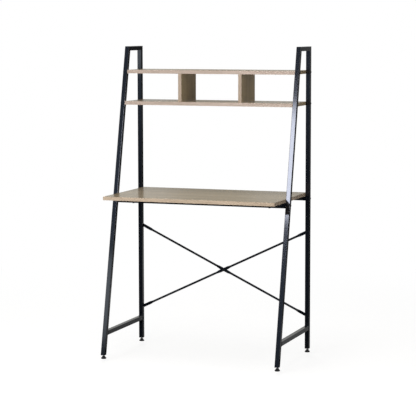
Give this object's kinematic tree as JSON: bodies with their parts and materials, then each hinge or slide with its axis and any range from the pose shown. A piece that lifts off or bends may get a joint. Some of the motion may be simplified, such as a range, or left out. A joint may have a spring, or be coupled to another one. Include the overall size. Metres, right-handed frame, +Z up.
{
  "type": "ladder desk",
  "caption": "Ladder desk: two leaning steel side frames carry a wood-look desk board and two shelves with dividers, with a crossed rod brace at the back and levelling feet.",
  "frame": {"origin": "on the floor, under the middle of the whole desk's box", "axes": "+X to the user's right, +Y to the back, +Z up"},
  "size_m": [0.848, 0.49, 1.4],
  "materials": {
    "frame_coat": "black powder coat, semi-gloss",
    "board_laminate": "light grey-brown oak laminate, satin",
    "edge_band": "light oak edge band, satin",
    "dowel_beech": "plain beech",
    "black_plastic": "moulded, fine texture",
    "black_hardware": "black oxide, satin",
    "zinc_hardware": "bright zinc plate"
  },
  "bodies": {
    "desk_frame": {"left_top_tube": "frame_coat", "left_lower_rail": "frame_coat", "left_front_leg": "frame_coat", "left_front_leg_insert": "black_plastic", "left_rear_leg": "frame_coat", "left_rear_leg_insert": "black_plastic", "right_top_tube": "frame_coat", "right_lower_rail": "frame_coat", "right_front_leg": "frame_coat", "right_front_leg_insert": "black_plastic", "right_rear_leg": "frame_coat", "right_rear_leg_insert": "black_plastic", "desk_board": "board_laminate", "desk_front_band": "edge_band", "desk_side_bands": "edge_band", "front_desk_rail": "frame_coat", "rear_desk_rail": "frame_coat", "desk_rail_plugs": "zinc_hardware", "desk_rail_bolts": "black_hardware", "desk_board_screws": "black_hardware", "upper_shelf": "board_laminate", "upper_shelf_band": "edge_band", "upper_shelf_bolts": "black_hardware", "upper_shelf_inserts": "zinc_hardware", "lower_shelf": "board_laminate", "lower_shelf_band": "edge_band", "lower_shelf_bolts": "black_hardware", "lower_shelf_inserts": "zinc_hardware", "left_divider": "board_laminate", "right_divider": "board_laminate", "divider_bands": "edge_band", "divider_dowels": "dowel_beech", "brace_front_rod": "frame_coat", "brace_rear_rod": "frame_coat", "brace_middle_bolt": "black_hardware", "brace_middle_nut": "zinc_hardware", "brace_end_bolts": "black_hardware", "brace_rivet_nuts": "zinc_hardware"},
    "left_front_foot": {"left_front_foot_pad": "black_plastic", "left_front_foot_stud": "black_hardware"},
    "left_rear_foot": {"left_rear_foot_pad": "black_plastic", "left_rear_foot_stud": "black_hardware"},
    "right_front_foot": {"right_front_foot_pad": "black_plastic", "right_front_foot_stud": "black_hardware"},
    "right_rear_foot": {"right_rear_foot_pad": "black_plastic", "right_rear_foot_stud": "black_hardware"}
  },
  "joints": [
    {"name": "left_front_foot_height", "type": "slide", "parent": "desk_frame", "child": "left_front_foot", "axis": [0, 0, -1], "range_m": [-0.004, 0.012]},
    {"name": "left_rear_foot_height", "type": "slide", "parent": "desk_frame", "child": "left_rear_foot", "axis": [0, 0, -1], "range_m": [-0.004, 0.012]},
    {"name": "right_front_foot_height", "type": "slide", "parent": "desk_frame", "child": "right_front_foot", "axis": [0, 0, -1], "range_m": [-0.004, 0.012]},
    {"name": "right_rear_foot_height", "type": "slide", "parent": "desk_frame", "child": "right_rear_foot", "axis": [0, 0, -1], "range_m": [-0.004, 0.012]}
  ]
}
